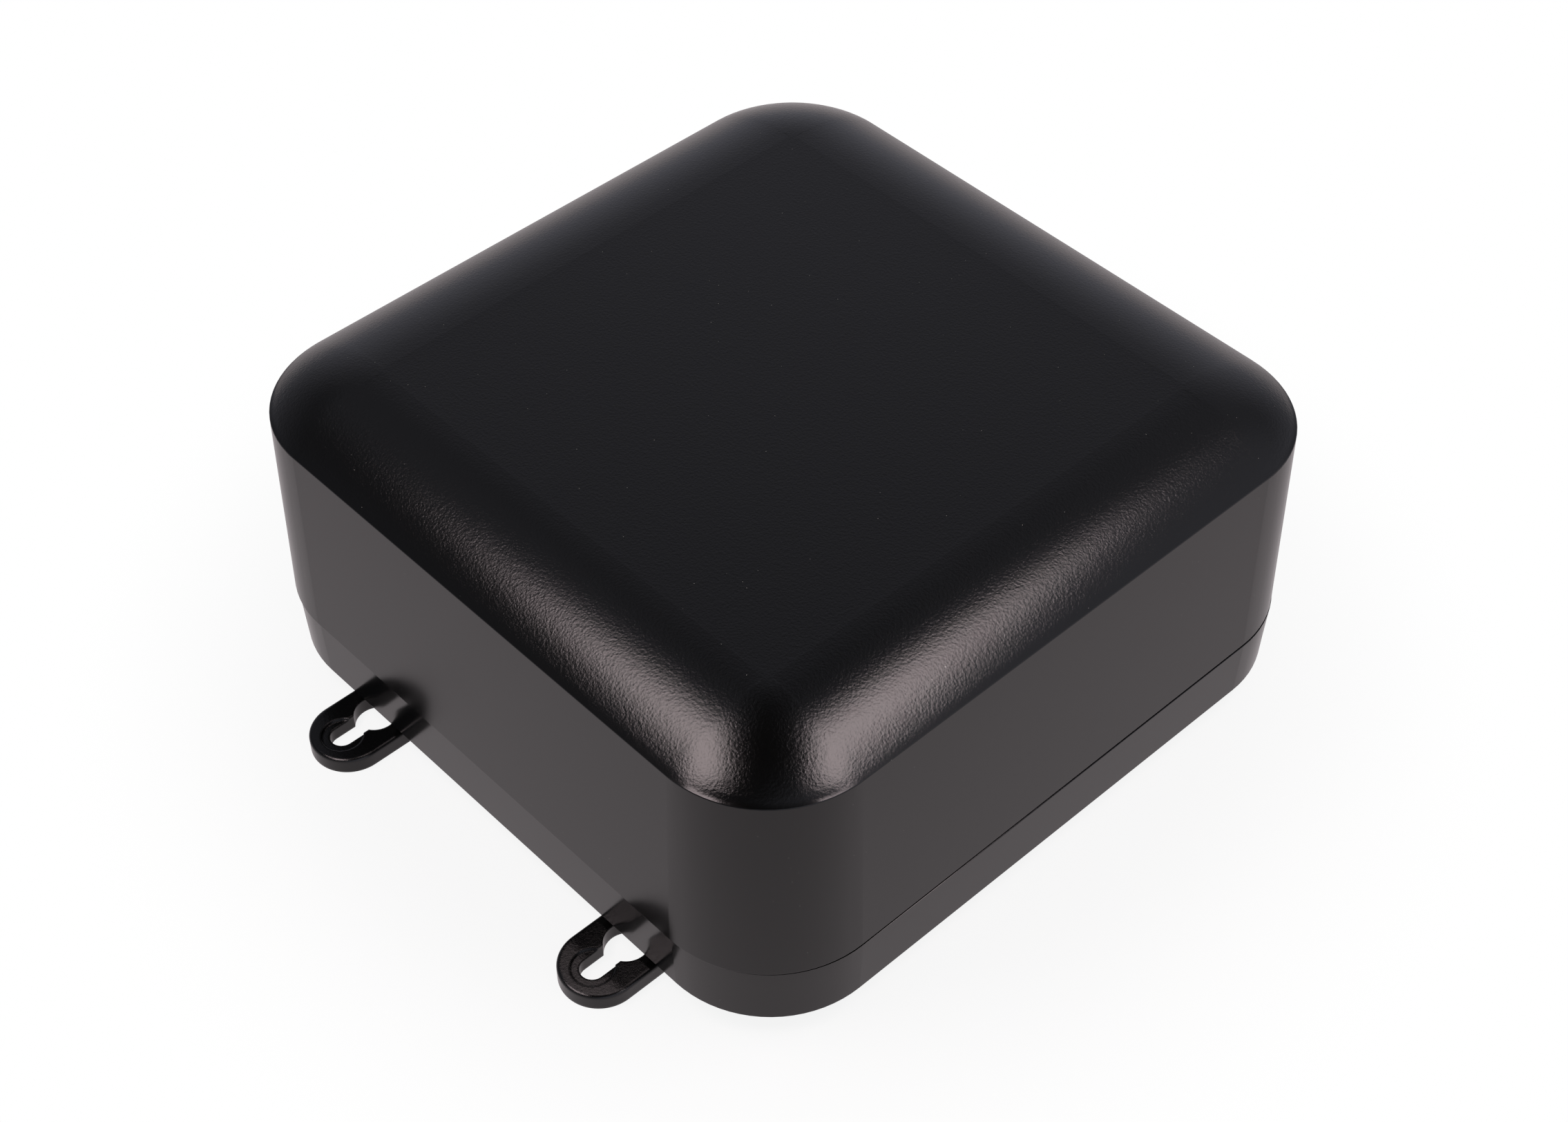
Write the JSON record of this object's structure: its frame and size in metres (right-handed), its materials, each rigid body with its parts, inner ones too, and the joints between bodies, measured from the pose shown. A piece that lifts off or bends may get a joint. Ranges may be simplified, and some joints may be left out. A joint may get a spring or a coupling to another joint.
{
  "type": "injection moulded plastic housing",
  "caption": "Square black wall-mount housing: deep cover with a pillow-shaped top over a shallow base tray, sealed at the seam, on keyhole brackets.",
  "frame": {"origin": "centre of the plane that the brackets' undersides lie in", "axes": "+Z away from the wall, towards the pillow top; +X across the two bracket sides"},
  "size_m": [0.1792, 0.1522, 0.0712],
  "materials": {
    "cover_plastic": "fine spark-eroded texture on the top, satin on the sides",
    "base_plastic": "satin",
    "bracket_plastic": "fine spark-eroded texture",
    "seal_rubber": "matt",
    "screw_steel": "bright zinc plate"
  },
  "bodies": {
    "root": {"cover": "cover_plastic", "base": "base_plastic", "seal": "seal_rubber", "bracket_left_front": "bracket_plastic", "bracket_left_rear": "bracket_plastic", "bracket_right_front": "bracket_plastic", "bracket_right_rear": "bracket_plastic", "cover_screw_left_front": "screw_steel", "cover_screw_left_rear": "screw_steel", "cover_screw_right_front": "screw_steel", "cover_screw_right_rear": "screw_steel", "bracket_screw_left_front_inner": "screw_steel", "bracket_screw_left_front_outer": "screw_steel", "bracket_screw_left_rear_inner": "screw_steel", "bracket_screw_left_rear_outer": "screw_steel", "bracket_screw_right_front_inner": "screw_steel", "bracket_screw_right_front_outer": "screw_steel", "bracket_screw_right_rear_inner": "screw_steel", "bracket_screw_right_rear_outer": "screw_steel"}
  },
  "joints": []
}
